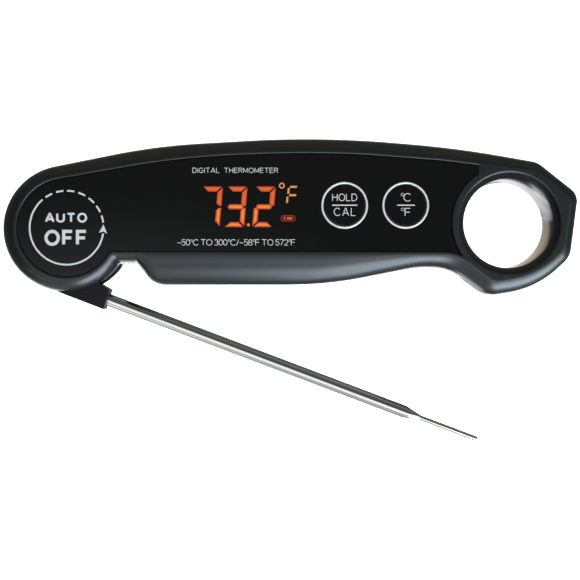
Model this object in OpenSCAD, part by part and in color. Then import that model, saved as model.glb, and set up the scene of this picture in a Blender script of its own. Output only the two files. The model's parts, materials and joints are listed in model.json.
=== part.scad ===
// Folding digital meat thermometer.
// X runs from the probe's pivot towards the hanging ring, Y across the handle,
// Z from the back to the display.
// The origin is on the pivot axis, in the plane of the back.

/* [Handle] */
// Thickness of the handle, back to display side
body_t = 19; // [19:0.1:20]
// Height of the seam between the two shells
seam_z = 8.5; // [8.4:0.1:8.6]
// Radius of the round end
round_r = 18.7; // [18.7:0.1:19]
// Thickness of the shells' side walls
wall = 2.2; // [2:0.1:2.3]
// Radius of the rounding along the back edge
back_round = 3.5; // [2.5:0.1:3.5]
// Steps that the rounded front flank is made of
flank_steps = 7; // [6:1:8]

/* [Hanging ring] */
// Radius of the hole
hole_r = 13; // [12:0.1:13]
// Distance of the hole's centre from the pivot
hole_x = 128.35; // [127.9:0.05:128.5]
// Offset of the hole's centre across the handle
hole_y = 1.35; // [1:0.05:1.6]

/* [Probe] */
// Angle of the probe below its folded place
fold_angle = 20.7; // [5:0.1:120]
// Radius of the steel tube
probe_r = 1.65; // [1.5:0.01:1.7]
// Radius of the thin tip
tip_r = 0.75; // [0.7:0.01:0.8]
// Distance of the probe's axis from the pivot
probe_offset = 15.3; // [15:0.1:15.5]
// Distance of the point from the pivot, along the probe
probe_reach = 134.9; // [132:0.1:135]
// Radius of the turning hub
hub_r = 18.3; // [18:0.1:18.4]
// Thickness of the turning hub
hub_t = 7.8; // [7.6:0.1:7.8]
// Radius of the fixed pivot post
post_r = 5; // [4.8:0.1:5]

/* [Display and buttons] */
// Length of the display glass
lcd_l = 40; // [38:0.5:40]
// Width of the display glass
lcd_w = 17.6; // [16:0.2:17.6]
// Radius of the round buttons
button_r = 5.95; // [5.5:0.05:5.95]
// Travel of the buttons
button_travel = 0.4; // [0.2:0.05:0.4]

/* [Battery] */
// Radius of the coin cell
cell_r = 10; // [9.8:0.1:10]
// Height of the coin cell
cell_h = 3.2; // [3:0.1:3.2]
// Radius of the battery door
door_r = 12; // [11.8:0.1:12]

/* [Hidden] */
$fn = 64;
eps = 0.01;

// Heights through the handle
floor_z = 15.5;          // underside of the front wall
panel_z = 17.1;          // underside of the face panel
panel_t = 1.5;
panel_gap = 0.1;
tape_t = 0.15;
back_t = 2;              // thickness of the back wall
hub_z = 4.6;             // rear face of the hub
hub_gap = 0.3;           // air above and below the hub
chamber_low = hub_z - hub_gap;
chamber_high = hub_z + hub_t + hub_gap;
shoulder_z = 9;          // where the front flank starts to round over
board_z = 8.8;
board_t = 1.2;
board_top = board_z + board_t;
gasket_t = 1;
keypad_t = 0.45;

// Places in the plane of the handle
hole = [hole_x, hole_y];
lcd = [48.9, 6];
hold_at = [81, 6.3];
unit_at = [98.5, 6.3];
door_at = [56, 4.5];
board_low = [22.5, -5.5];
board_high = [104, 15.4];
board_screw_at = [[25.3, 12.8], [25.3, -3], [72.6, 13.2], [89.75, -3.2]];
cavity_screw_at = [[24.8, 18], [31, -9.2], [107.5, 16], [107, -5]];
ring_screw_at = [[137.2, 14.6], [141.2, -8.2]];
housing_screw_at = concat(cavity_screw_at, ring_screw_at);
magnet_at = [[84, 5], [98, 5]];
cavity_start = 4.5;
cavity_end = 110.8;      // the electronics end here and the ring begins
pocket_low = [cavity_end + 2.5, -5];
chamber_wall_r = round_r + 1.9;
cavity_low_y = -11.2;    // the probe's groove runs below this
stop_angle = -100;       // place of the peg that stops the hub
arm_x = 18.7;            // end face of the hub's arm, folded
arm_inset = 0.3;         // the arm is thinner than the hub by this on each face
stop_slot_r = 9.7;       // slot in the hub that the stop peg runs in
stop_slot = [2.6, 3.1];
lead_r = 0.16;
lead_gap = 0.2;          // each lead lies this far from the middle of the pair
tube_root = 6;           // the tube's inner end, in the hub
collar_r = probe_r + 0.2;
groove_r = 2.1;          // groove for the folded tube
tip_groove_r = 1.3;      // groove for the folded tip

// Outline at its widest: x, y and corner radius, from the round end along the grip side to the back edge
widest = [[15.7, -10.15, 0.8], [20.9, -10.15, 0.8], [26.4, -16.4, 4], [76.3, -16.4, 120],
    [103, -11.25, 55], [112, -11.5, 8], [123.2, -19.8, 7], [137.4, -17.5, 28], [147.1, -8.5, 6.5],
    [149.5, 9.9, 4.5], [137.4, 19.5, 6], [114, 23.7, 300], [73.5, 27, 300], [26, 24.25, 180]];
// The same corners on the crown, where the flank meets the face
crown = [[14, -7.35, 2.5], [21.2, -7.4, 1.5], [24.5, -7.45, 2], [76.3, -7.45, 60],
    [103, -7.5, 60], [113.6, -7.5, 5], [124, -15.5, 5], [136, -13.4, 22], [143.7, -6.3, 5],
    [145.5, 8.6, 3.5], [136.3, 16.1, 5], [110, 19.6, 150], [76.3, 22.2, 300], [35.1, 20.8, 250]];
widest_end = [0.3, 0, round_r];
crown_end = [1.2, -0.1, 14.7];
end_from = 101;          // the round end's arc, in degrees
end_to = 322;
arc_step = 6;
longest_chord = 6;       // on the long gentle curves, in mm

function mix(a, b, f) = a + (b - a) * f;
function unit(v) = v / norm(v);
function on_circle(c, r, a) = [c[0] + r * cos(a), c[1] + r * sin(a)];
function turn(from, to) = (to - from + 540) % 360 - 180;

// Points of the arc that rounds the corner b between a and c with radius r
function corner(a, b, c, r) =
    let (u = unit(a - b), v = unit(c - b), half = acos(u * v) / 2)
    let (centre = b + unit(u + v) * r / sin(half), reach = r / tan(half))
    let (p = b + u * reach - centre, q = b + v * reach - centre)
    let (start = atan2(p[1], p[0]), sweep = turn(start, atan2(q[1], q[0])))
    let (n = max(1, ceil(abs(sweep) / arc_step), ceil(abs(sweep) * r * PI / 180 / longest_chord)))
    [for (i = [0:n]) on_circle(centre, r, start + sweep * i / n)];

// Outline of the handle: f is 0 at its widest and 1 at the crown
function outline(f) =
    let (e = mix(widest_end, crown_end, f), n = ceil((end_to - end_from) / arc_step))
    let (arc = [for (i = [0:n]) on_circle(e, e[2], end_from + (end_to - end_from) * i / n)])
    let (k = [for (i = [0:len(widest) - 1]) mix(widest[i], crown[i], f)])
    let (p = concat([arc[n]], [for (c = k) [c[0], c[1]]], [arc[0]]))
    concat(arc, [for (i = [0:len(k) - 1]) each corner(p[i], p[i + 1], p[i + 2], k[i][2])]);

module outline_2d(f) {
    polygon(outline(f));
}

// Space that the turning hub and its arm need, seen from the front
module chamber_2d() {
    circle(round_r);
    translate([-30, -30])
        square([34, 60]);
    translate([0, -30])
        square([19.8, 19.7]);
}

module electronics_2d(f) {
    difference() {
        intersection() {
            offset(delta = -wall)
                outline_2d(f);
            translate([cavity_start, cavity_low_y])
                square([cavity_end - cavity_start, 50]);
        }
        circle(chamber_wall_r);
    }
}

module ring_pocket_2d(f) {
    difference() {
        intersection() {
            offset(delta = -wall)
                outline_2d(f);
            translate(pocket_low)
                square([50, 50]);
        }
        translate(hole)
            circle(hole_r + wall);
    }
}

module panel_2d(gap) {
    difference() {
        intersection() {
            offset(delta = -0.5 - gap)
                outline_2d(1);
            translate([-30, -30])
                square([149.45 - gap, 60]);
        }
        translate(hole)
            circle(hole_r + 3.6 + gap);
    }
}

module gasket_2d() {
    difference() {
        offset(delta = 1.1)
            electronics_2d(0);
        offset(delta = 0.5)
            electronics_2d(0);
    }
}

module box(low, high) {
    translate(low)
        cube(high - low);
}

module rod(p, q, r) {
    d = q - p;
    translate(p)
        rotate([0, acos(d[2] / norm(d)), atan2(d[1], d[0])])
            cylinder(h = norm(d), r = r);
}

// Round wire through a list of points
module wire(points, r) {
    for (i = [0:len(points) - 2])
        rod(points[i], points[i + 1], r);
    for (i = [1:len(points) - 2])
        translate(points[i])
            sphere(r * 1.03);
}

module tube(outer, inner, z, h) {
    translate([0, 0, z])
        difference() {
            cylinder(h = h, r = outer);
            translate([0, 0, -eps])
                cylinder(h = h + 2 * eps, r = inner);
        }
}

module disc(r, z, h) {
    translate([0, 0, z])
        cylinder(h = h, r = r);
}

module seal_ring(ring_r, cord_r, z) {
    translate([0, 0, z])
        rotate_extrude()
            translate([ring_r, 0])
                circle(cord_r);
}

// Screw driven from the back: its head's rear face is at z = 0
module screw(head_r, head_h, shank_r, shank_l) {
    slot_w = head_r * 0.3;
    slot_l = head_r * 1.2;
    difference() {
        union() {
            disc(head_r, 0, head_h);
            disc(shank_r, head_h - eps, shank_l + eps);
        }
        for (a = [0, 90])
            rotate([0, 0, a])
                box([-slot_l / 2, -slot_w / 2, -eps], [slot_l / 2, slot_w / 2, head_h * 0.6]);
    }
}

// Groove along the grip side where the folded probe lies
module probe_groove() {
    box([19, -25, seam_z - groove_r], [113, -probe_offset, seam_z + groove_r]);
    rod([19, -probe_offset, seam_z], [113, -probe_offset, seam_z], groove_r);
    box([113 - eps, -25, seam_z - tip_groove_r], [136.3, -probe_offset, seam_z + tip_groove_r]);
    rod([113 - eps, -probe_offset, seam_z], [136.3, -probe_offset, seam_z], tip_groove_r);
}

// Anything that turns with the probe is drawn folded and then opened
module opened() {
    rotate([0, 0, -fold_angle])
        children();
}

module front_flank() {
    for (i = [0:flank_steps - 1]) {
        low = i == 0 ? seam_z : mix(shoulder_z, body_t, sin(90 * i / flank_steps));
        high = mix(shoulder_z, body_t, sin(90 * (i + 1) / flank_steps));
        translate([0, 0, low])
            linear_extrude(high - low + (i < flank_steps - 1 ? eps : 0))
                outline_2d(1 - cos(90 * (i + 0.5) / flank_steps));
    }
}

// Hollow of the front shell, one step of the flank inside the outer one
module front_hollow() {
    for (i = [0:flank_steps - 1]) {
        low = i == 0 ? seam_z - 1 : mix(shoulder_z, body_t, sin(90 * i / flank_steps));
        high = min(floor_z, mix(shoulder_z, body_t, sin(90 * (i + 1) / flank_steps)));
        f = 1 - cos(90 * min(1, (i + 1.5) / flank_steps));
        if (high > low)
            translate([0, 0, low - eps])
                linear_extrude(high - low + eps) {
                    electronics_2d(f);
                    ring_pocket_2d(f);
                }
    }
}

module front_bosses() {
    for (p = cavity_screw_at)
        translate(p)
            disc(2.4, seam_z, floor_z - seam_z + eps);
    for (p = ring_screw_at)
        translate(p)
            disc(2.6, seam_z, floor_z - seam_z + eps);
    for (p = board_screw_at)
        translate(p)
            disc(2, board_top, floor_z - board_top + eps);
}

module front_housing() {
    color([0.08, 0.08, 0.09])
    difference() {
        union() {
            difference() {
                front_flank();
                front_hollow();
                translate([0, 0, seam_z - 1])
                    linear_extrude(chamber_high - seam_z + 1)
                        chamber_2d();
            }
            front_bosses();
            disc(post_r, 3.6, chamber_high - 3.6 + eps);
        }
        translate([0, 0, panel_z])
            linear_extrude(body_t)
                panel_2d(0);
        translate([lcd[0], lcd[1], floor_z])
            cube([lcd_l - 2, lcd_w - 2, 5], center = true);
        for (p = [hold_at, unit_at])
            translate(p)
                disc(button_r + 1.35, floor_z - 1, 5);
        translate(hole)
            disc(hole_r, -1, body_t + 2);
        probe_groove();
        for (p = housing_screw_at)
            translate(p)
                disc(1.1, seam_z - 1, 6.5);
        for (p = board_screw_at)
            translate(p)
                disc(0.9, board_top - 1, 4.2);
        disc(1.5, 3, 9.4);
        tube(15.1, 12.9, chamber_high - eps, 1.6);
        tube(12.2, 5.6, chamber_high - eps, 2.5);
        box([11.5, -1.8, chamber_high + 0.5], [22.5, 1.8, chamber_high + 2.5]);
        translate([0, 0, seam_z - gasket_t / 2])
            linear_extrude(gasket_t)
                gasket_2d();
    }
}

module rear_shell() {
    n = 4;
    for (i = [0:n - 1]) {
        low = back_round * (1 - cos(90 * i / n));
        high = i == n - 1 ? seam_z : back_round * (1 - cos(90 * (i + 1) / n));
        translate([0, 0, low])
            linear_extrude(high - low + (i < n - 1 ? eps : 0))
                offset(delta = -back_round * (1 - sin(90 * (i + 0.5) / n)))
                    outline_2d(0);
    }
}

// Three equal lugs or notches of the bayonet door
module bayonet(r, z, h, half_angle, twist) {
    for (a = [0:120:240])
        rotate([0, 0, a + twist - half_angle])
            translate([0, 0, z])
                rotate_extrude(angle = 2 * half_angle)
                    translate([door_r - 1, 0])
                        square([r - door_r + 1, h]);
}

module rear_housing() {
    color([0.08, 0.08, 0.09])
    difference() {
        union() {
            difference() {
                rear_shell();
                translate([0, 0, back_t])
                    linear_extrude(seam_z)
                        difference() {
                            union() {
                                electronics_2d(0.12);
                                ring_pocket_2d(0.12);
                            }
                            circle(chamber_wall_r);
                        }
                translate([0, 0, chamber_low])
                    linear_extrude(seam_z)
                        chamber_2d();
            }
            for (p = cavity_screw_at)
                translate(p)
                    disc(2.6, back_t - eps, seam_z - back_t + eps);
            for (p = ring_screw_at)
                translate(p)
                    disc(2.6, back_t - eps, seam_z - back_t + eps);
            for (p = magnet_at)
                translate(p)
                    tube(6.2, 5.05, back_t - eps, 1.8);
            translate(on_circle([0, 0], 11, stop_angle))
                disc(1.2, chamber_low - eps, 2.1);
        }
        translate(hole)
            disc(hole_r, -1, body_t + 2);
        probe_groove();
        translate(door_at) {
            disc(door_r + 0.08, -1, 4);
            bayonet(door_r + 1.5, -1, 4, 15, 45);
        }
        for (p = housing_screw_at)
            translate(p) {
                disc(1.25, -1, 12);
                disc(2.1, -1, 4.2);
            }
        disc(1.6, -1, 8);
        disc(3.5, -1, 3.8);
        disc(post_r + 0.05, 3.6, 3);
        tube(15.1, 12.9, chamber_low - 1.6, 1.6 + eps);
        translate([0, 0, seam_z - gasket_t / 2])
            linear_extrude(gasket_t)
                gasket_2d();
    }
}

module housing_gasket() {
    color("dimgray")
        translate([0, 0, seam_z - gasket_t / 2])
            linear_extrude(gasket_t)
                gasket_2d();
}

module face_panel() {
    color([0.05, 0.05, 0.06])
        difference() {
            translate([0, 0, panel_z + tape_t])
                linear_extrude(panel_t - tape_t)
                    panel_2d(panel_gap);
            for (p = [hold_at, unit_at])
                translate(p)
                    disc(button_r + 0.95, panel_z - 1, 5);
        }
}

module panel_tape() {
    color("gray")
        translate([0, 0, panel_z])
            linear_extrude(tape_t)
                difference() {
                    panel_2d(0.8);
                    translate([lcd[0] - lcd_l / 2, lcd[1] - lcd_w / 2])
                        square([lcd_l, lcd_w]);
                    for (p = [hold_at, unit_at])
                        translate(p)
                            circle(button_r + 1.8);
                }
}

module button(at) {
    translate(at) {
        disc(button_r, 16.9, 1.95);
        disc(button_r + 0.85, floor_z + button_travel + 0.3, 0.75);
        disc(1.8, 13.35, 2.9);
    }
}

module hold_button() {
    color([0.06, 0.06, 0.07])
        button(hold_at);
}

module unit_button() {
    color([0.06, 0.06, 0.07])
        button(unit_at);
}

module bezel(at) {
    color("silver")
        translate(at)
            tube(button_r + 0.85, button_r + 0.1, panel_z, panel_t + 0.3);
}

module hold_button_bezel() {
    bezel(hold_at);
}

module unit_button_bezel() {
    bezel(unit_at);
}

module keypad_seal() {
    color("lightgray")
        translate([0, 0, floor_z - keypad_t])
            linear_extrude(keypad_t)
                difference() {
                    union() {
                        for (p = [hold_at, unit_at])
                            translate(p)
                                circle(button_r + 2.2);
                        translate([hold_at[0], hold_at[1] - 2])
                            square([unit_at[0] - hold_at[0], 4]);
                    }
                    for (p = [hold_at, unit_at])
                        translate(p)
                            circle(2.1);
                }
}

module switch_body(at) {
    color("darkslategray")
        translate(at)
            difference() {
                box([-3.1, -3.1, board_top], [3.1, 3.1, board_top + 2.9]);
                disc(1.85, board_top + 1.4, 3);
            }
}

module switch_plunger(at) {
    color("beige")
        translate(at)
            disc(1.75, board_top + 2.2, 1.15);
}

module hold_switch_body() {
    switch_body(hold_at);
}

module hold_switch_plunger() {
    switch_plunger(hold_at);
}

module unit_switch_body() {
    switch_body(unit_at);
}

module unit_switch_plunger() {
    switch_plunger(unit_at);
}

// Rectangular layer of the display, centred on it
module lcd_layer(l, w, z, h) {
    translate([lcd[0], lcd[1], z + h / 2])
        cube([l, w, h], center = true);
}

module display_upper_glass() {
    color([0.1, 0.1, 0.12])
        lcd_layer(lcd_l - 1.4, lcd_w - 4, 14.35, 1);
}

module display_lower_glass() {
    color([0.15, 0.15, 0.17])
        lcd_layer(lcd_l - 1.4, lcd_w - 1, 13.3, 1);
}

module light_guide() {
    color("orange")
        lcd_layer(lcd_l - 5.4, lcd_w - 6.2, 10.6, 2.6);
}

module reflector_sheet() {
    color("white")
        lcd_layer(lcd_l - 5.4, lcd_w - 6.2, 10.3, 0.25);
}

module backlight_lamp() {
    color("lightyellow")
        box([lcd[0] - lcd_l / 2 + 0.8, lcd[1] - 1.5, board_top],
            [lcd[0] - lcd_l / 2 + 2.4, lcd[1] + 1.5, 12.4]);
}

module display_frame() {
    color("white")
        difference() {
            lcd_layer(lcd_l + 1, lcd_w + 1.4, board_top, 5.35);
            lcd_layer(lcd_l - 1, lcd_w - 0.6, board_top - 1, 8);
        }
}

module elastomer_strips() {
    color("pink")
        for (side = [-1, 1])
            translate([lcd[0], lcd[1] + side * (lcd_w / 2 - 1.4), board_top + 1.65])
                cube([lcd_l - 3, 1.4, 3.3], center = true);
}

module circuit_board() {
    color("darkgreen")
        difference() {
            box([board_low[0], board_low[1], board_z], [board_high[0], board_high[1], board_top]);
            for (p = board_screw_at)
                translate(p)
                    disc(1, board_z - 1, 4);
        }
}

// Part soldered under the circuit board
module chip(at, size) {
    translate([at[0] - size[0] / 2, at[1] - size[1] / 2, board_z - size[2]])
        cube(size);
}

module controller_chip() {
    color([0.15, 0.15, 0.15])
        chip([84, 8], [9, 9, 1.4]);
}

module converter_chip() {
    color([0.15, 0.15, 0.15])
        chip([34, 10], [6, 5, 1.5]);
}

module crystal() {
    color("silver")
        rod([74, 3, board_z - 1.5], [74, 10, board_z - 1.5], 1.5);
}

module chip_resistors() {
    color([0.1, 0.1, 0.12])
        for (i = [0:7])
            chip([80 + 2.6 * i, 0.4], [1.6, 0.8, 0.5]);
}

module chip_capacitors() {
    color("tan")
        for (i = [0:5])
            chip([92.5 + 2 * i, 12.6], [1.2, 2, 0.8]);
}

module hall_switch() {
    color([0.12, 0.12, 0.12])
        chip([24.2, 2], [3, 4, 1.3]);
}

module battery_cradle() {
    color("whitesmoke")
        translate(door_at)
            difference() {
                tube(12.2, cell_r + 0.15, 3.3, board_z - 3.3);
                box([9, -3.5, 3], [13, 3.5, board_z + 1]);
            }
}

module battery_centre_contact() {
    top = 2.4 + cell_h;
    color("gold")
        translate(door_at) {
            box([-6, -1.5, top], [4, 1.5, top + 0.25]);
            box([-6, -1.5, top], [-5.75, 1.5, board_z]);
            box([-9, -1.5, board_z - 0.25], [-5.75, 1.5, board_z]);
        }
}

module battery_side_contact() {
    color("gold")
        translate(door_at) {
            box([cell_r, -2.5, 3.4], [cell_r + 0.25, 2.5, board_z]);
            box([cell_r, -2.5, board_z - 0.25], [cell_r + 4, 2.5, board_z]);
        }
}

module coin_cell_can() {
    color("silver")
        translate(door_at)
            difference() {
                disc(cell_r, 2.4, cell_h - 0.3);
                disc(cell_r - 0.25, 2.65, cell_h);
            }
}

module coin_cell_seal() {
    color("gray")
        translate(door_at)
            tube(cell_r - 0.25, cell_r - 0.7, 2.65, cell_h - 0.55);
}

module coin_cell_cap() {
    color("silver")
        translate(door_at) {
            disc(cell_r - 0.7, 2.65, cell_h - 0.45);
            disc(cell_r - 1.4, 2.65, cell_h - 0.25);
        }
}

module battery_door() {
    color([0.1, 0.1, 0.1])
        translate(door_at)
            difference() {
                union() {
                    disc(door_r, 0.3, 1.7);
                    tube(11.3, 10.3, 2 - eps, 1.1);
                    bayonet(door_r + 1.2, 2.15, 0.95, 12, 0);
                }
                tube(door_r + 1, door_r - 0.9, 0.7, 1);
                box([-7.5, -0.9, -1], [7.5, 0.9, 1.3]);
            }
}

module battery_door_seal() {
    color("saddlebrown")
        translate(door_at)
            seal_ring(door_r - 0.45, 0.42, 1.2);
}

module back_magnets() {
    color("lightslategray")
        for (p = magnet_at)
            translate(p)
                disc(5, back_t, 1.5);
}

module housing_screws() {
    color("dimgray")
        for (p = housing_screw_at)
            translate([p[0], p[1], 1.6])
                screw(2, 1.6, 1.1, 9.5);
}

module board_screws() {
    color("silver")
        for (p = board_screw_at)
            translate([p[0], p[1], board_z - 1.1])
                screw(1.7, 1.1, 0.9, 4);
}

module pivot_screw() {
    color("dimgray")
        translate([0, 0, 1])
            screw(2.8, 1.4, 1.5, 9.6);
}

module pivot_washer() {
    color("silver")
        tube(3.3, 1.6, 2.4, 0.4);
}

module pivot_cap() {
    color([0.12, 0.12, 0.12])
        disc(3.42, 0, 0.9);
}

module friction_washer() {
    color("ivory")
        tube(9.4, 5.3, chamber_low, 0.25);
}

module hub_seal_front() {
    color("saddlebrown")
        seal_ring(14, 0.88, chamber_high + 0.65);
}

module hub_seal_rear() {
    color("saddlebrown")
        seal_ring(14, 0.88, chamber_low - 0.65);
}

// Route of the sensor leads from the tube through the hub, folded
lead_route = [[5.5, -probe_offset, seam_z], [4, -11, seam_z], [4, -8, seam_z], [4, -8, 12.2]];

module probe_hub() {
    stop_margin = 6.9;
    color([0.1, 0.1, 0.11])
    opened()
    difference() {
        union() {
            disc(hub_r, hub_z, hub_t);
            translate([0, 0, hub_z + arm_inset])
                linear_extrude(hub_t - 2 * arm_inset)
                    polygon([[0, -hub_r + 0.05], [arm_x, -hub_r + 0.1], [arm_x, -12.4], [13.6, -11.6],
                        [0, -8]]);
        }
        disc(post_r + 0.05, hub_z - 1, hub_t + 2);
        rod([tube_root, -probe_offset, seam_z], [arm_x + 5, -probe_offset, seam_z], collar_r);
        wire(concat([[tube_root + 1, -probe_offset, seam_z]], lead_route, [[4, -8, 14]]), 0.9);
        translate([0, 0, hub_z - 1])
            rotate([0, 0, stop_angle - stop_margin])
                rotate_extrude(angle = 180 + 2 * stop_margin)
                    translate([stop_slot_r, 0])
                        square(stop_slot);
        rod([hub_r - 2.2, 0, seam_z], [hub_r + 1, 0, seam_z], 2);
    }
}

module hub_magnet() {
    color("lightslategray")
        opened()
            rod([hub_r - 2.2, 0, seam_z], [hub_r - 0.3, 0, seam_z], 2);
}

module probe_tube() {
    taper_from = probe_reach - 23.2;
    taper_to = probe_reach - 18.6;
    point_from = probe_reach - 1.6;
    color("gainsboro")
        opened()
            translate([0, -probe_offset, seam_z])
                rotate([0, 90, 0])
                    rotate_extrude()
                        polygon([[1.25, tube_root], [collar_r, tube_root], [collar_r, arm_x + 0.3],
                            [probe_r, arm_x + 0.3], [probe_r, taper_from], [tip_r, taper_to],
                            [tip_r, point_from], [0.12, probe_reach], [0, probe_reach],
                            [0, probe_reach - 4], [0.42, probe_reach - 4.5], [0.42, taper_to],
                            [1.25, taper_from]]);
}

module thermistor() {
    color("black")
        opened()
            rod([probe_reach - 6.2, -probe_offset, seam_z], [probe_reach - 4.7, -probe_offset, seam_z], 0.38);
}

module sensor_leads() {
    color("white")
        opened()
            for (side = [-1, 1])
                translate([0, side * lead_gap, 0])
                    wire(concat([[probe_reach - 6.2, -probe_offset, seam_z]], lead_route), lead_r);
}

module board_leads() {
    color("white")
        for (side = [-1, 1])
            wire([[8, side * 0.7, 14.72], [24, side * 0.7, 14.72], [24, side * 0.7, board_top]], 0.45);
}

front_housing();
rear_housing();
housing_gasket();
face_panel();
panel_tape();
hold_button();
hold_button_bezel();
unit_button();
unit_button_bezel();
keypad_seal();
hold_switch_body();
hold_switch_plunger();
unit_switch_body();
unit_switch_plunger();
display_upper_glass();
display_lower_glass();
light_guide();
reflector_sheet();
backlight_lamp();
display_frame();
elastomer_strips();
circuit_board();
controller_chip();
converter_chip();
crystal();
chip_resistors();
chip_capacitors();
hall_switch();
battery_cradle();
battery_centre_contact();
battery_side_contact();
coin_cell_can();
coin_cell_cap();
coin_cell_seal();
battery_door();
battery_door_seal();
back_magnets();
housing_screws();
board_screws();
pivot_screw();
pivot_washer();
pivot_cap();
friction_washer();
hub_seal_front();
hub_seal_rear();
probe_hub();
hub_magnet();
probe_tube();
thermistor();
sensor_leads();
board_leads();
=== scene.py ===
import json
import math

import bmesh
import bpy
from mathutils import Matrix, Vector
from mathutils.geometry import tessellate_polygon

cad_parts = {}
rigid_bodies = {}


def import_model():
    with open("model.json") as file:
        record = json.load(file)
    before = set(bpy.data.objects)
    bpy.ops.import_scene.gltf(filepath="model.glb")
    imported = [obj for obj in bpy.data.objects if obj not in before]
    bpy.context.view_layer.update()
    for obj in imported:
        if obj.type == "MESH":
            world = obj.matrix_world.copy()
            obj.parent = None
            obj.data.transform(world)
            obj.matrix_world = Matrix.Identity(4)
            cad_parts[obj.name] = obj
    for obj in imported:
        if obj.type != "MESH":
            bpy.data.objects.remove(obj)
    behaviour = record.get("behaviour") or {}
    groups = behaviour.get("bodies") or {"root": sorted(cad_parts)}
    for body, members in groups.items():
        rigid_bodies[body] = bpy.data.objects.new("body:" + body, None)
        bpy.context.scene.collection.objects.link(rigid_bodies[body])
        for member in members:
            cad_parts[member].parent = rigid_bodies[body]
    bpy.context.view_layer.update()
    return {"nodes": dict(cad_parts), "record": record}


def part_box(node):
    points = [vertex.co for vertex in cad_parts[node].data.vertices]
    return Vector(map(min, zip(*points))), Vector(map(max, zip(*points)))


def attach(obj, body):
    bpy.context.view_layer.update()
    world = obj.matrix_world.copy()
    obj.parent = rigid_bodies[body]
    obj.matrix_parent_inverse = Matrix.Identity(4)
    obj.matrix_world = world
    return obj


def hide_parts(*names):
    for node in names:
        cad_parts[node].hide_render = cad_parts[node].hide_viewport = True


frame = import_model()

# Everything is drawn in millimetres and scaled to metres at the end.
MM = 0.001


def span(node):
    """Box of a CAD node in millimetres: lowest corner, highest corner."""
    low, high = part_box(node)
    return low / MM, high / MM


def centre(node):
    """Middle of a CAD node's box, in millimetres."""
    low, high = span(node)
    return (low + high) / 2


# Main sizes, from the frame
FRONT = span("front_housing")[1].z
SEAM = span("rear_housing")[1].z
PANEL = span("face_panel")
PANEL_TOP = PANEL[1].z
HOLD = centre("hold_button")
UNIT = centre("unit_button")
BEZEL_R = (span("hold_button_bezel")[1].x - span("hold_button_bezel")[0].x) / 2
BUTTON_R = BEZEL_R - 0.85
BUTTON_TOP = span("hold_button")[1].z
DISPLAY = centre("display_upper_glass")
DOOR = centre("battery_door")
HUB_LOW, HUB_HIGH = (corner.z for corner in span("probe_hub"))
HUB_R = -span("probe_hub")[0].x
PROBE_Z = centre("probe_tube").z
PROBE_R = PROBE_Z - span("probe_tube")[0].z
SHOULDER = 9.0
BACK_ROUND = 3.5
RING = next(m for m in frame["record"]["mounts"] if m["name"] == "hang_hole")
HOLE = Vector(RING["pos_m"][:2]) / MM
HOLE_R = RING["dims"]["r_mm"]
FOLD = math.radians(-20.7)

# Outline of the handle: corners with their radii, from the round end along the grip side to the back edge
WIDEST = [
    (15.7, -10.15, 0.8), (20.7, -10.15, 1), (25.3, -16.4, 5.5), (76.3, -16.4, 120), (103, -11.25, 32),
    (111.8, -11.5, 14), (123.2, -19.8, 7), (137.4, -17.5, 28), (147.1, -8.5, 6.5), (149.5, 9.9, 4.5),
    (137.4, 19.5, 6), (114, 23.7, 300), (73.5, 27, 300), (26, 24.25, 180),
]
CROWN = [
    (14, -7.35, 2.5), (21.2, -7.4, 1.5), (24.5, -7.45, 2), (76.3, -7.45, 60), (103, -7.5, 60),
    (113.6, -7.5, 13), (124, -15.4, 5), (136, -13.1, 22), (143.6, -6.2, 5), (145.5, 8.6, 3.5),
    (136.3, 16.1, 5), (110, 19.6, 150), (76.3, 22.2, 300), (35.1, 20.8, 250),
]
WIDEST_END = (0.3, 0, 18.7)
CROWN_END = (1.2, -0.1, 14.7)
END_FROM, END_TO = 101, 322


def mix(a, b, f):
    """Numbers a fraction f of the way from a to b."""
    return tuple(p + (q - p) * f for p, q in zip(a, b))


def corner_arc(a, b, c, radius):
    """Centre, start angle and sweep of the arc that rounds corner b."""
    u, v = (a - b).normalized(), (c - b).normalized()
    half = u.angle(v) / 2
    middle = b + (u + v).normalized() * radius / math.sin(half)
    reach = radius / math.tan(half)
    p, q = b + u * reach - middle, b + v * reach - middle
    start = math.atan2(p.y, p.x)
    sweep = (math.atan2(q.y, q.x) - start + 3 * math.pi) % (2 * math.pi) - math.pi
    return middle, start, sweep


def outline_arcs(f):
    """Every arc of the outline, as centre, start angle, sweep and radius."""
    x, y, radius = mix(WIDEST_END, CROWN_END, f)
    arcs = [(Vector((x, y)), math.radians(END_FROM), math.radians(END_TO - END_FROM), radius)]
    ends = [arcs[0][0] + radius * Vector((math.cos(math.radians(a)), math.sin(math.radians(a))))
            for a in (END_TO, END_FROM)]
    corners = [mix(w, c, f) for w, c in zip(WIDEST, CROWN)]
    line = [ends[0]] + [Vector(c[:2]) for c in corners] + [ends[1]]
    for i, c in enumerate(corners):
        arcs.append(corner_arc(line[i], line[i + 1], line[i + 2], c[2]) + (c[2],))
    return arcs


STEP_DEG, STEP_LENGTH = 3, 2.5
ARC_COUNTS = []
for wide, narrow in zip(outline_arcs(0), outline_arcs(1)):
    turn, narrow_r = max(abs(wide[2]), abs(narrow[2])), narrow[3]
    by_turn, by_length = math.degrees(turn) / STEP_DEG, turn * narrow_r / STEP_LENGTH
    ARC_COUNTS.append(max(2, math.ceil(by_turn), math.ceil(by_length)))


def raw_outline(f, inset):
    """Points on the arcs alone, moved in by the inset."""
    points = []
    for (middle, start, sweep, radius), n in zip(outline_arcs(f), ARC_COUNTS):
        r = max(0.05, radius - inset) if sweep > 0 else radius + inset
        for i in range(n + 1):
            a = start + sweep * i / n
            points.append(middle + r * Vector((math.cos(a), math.sin(a))))
    return points


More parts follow.
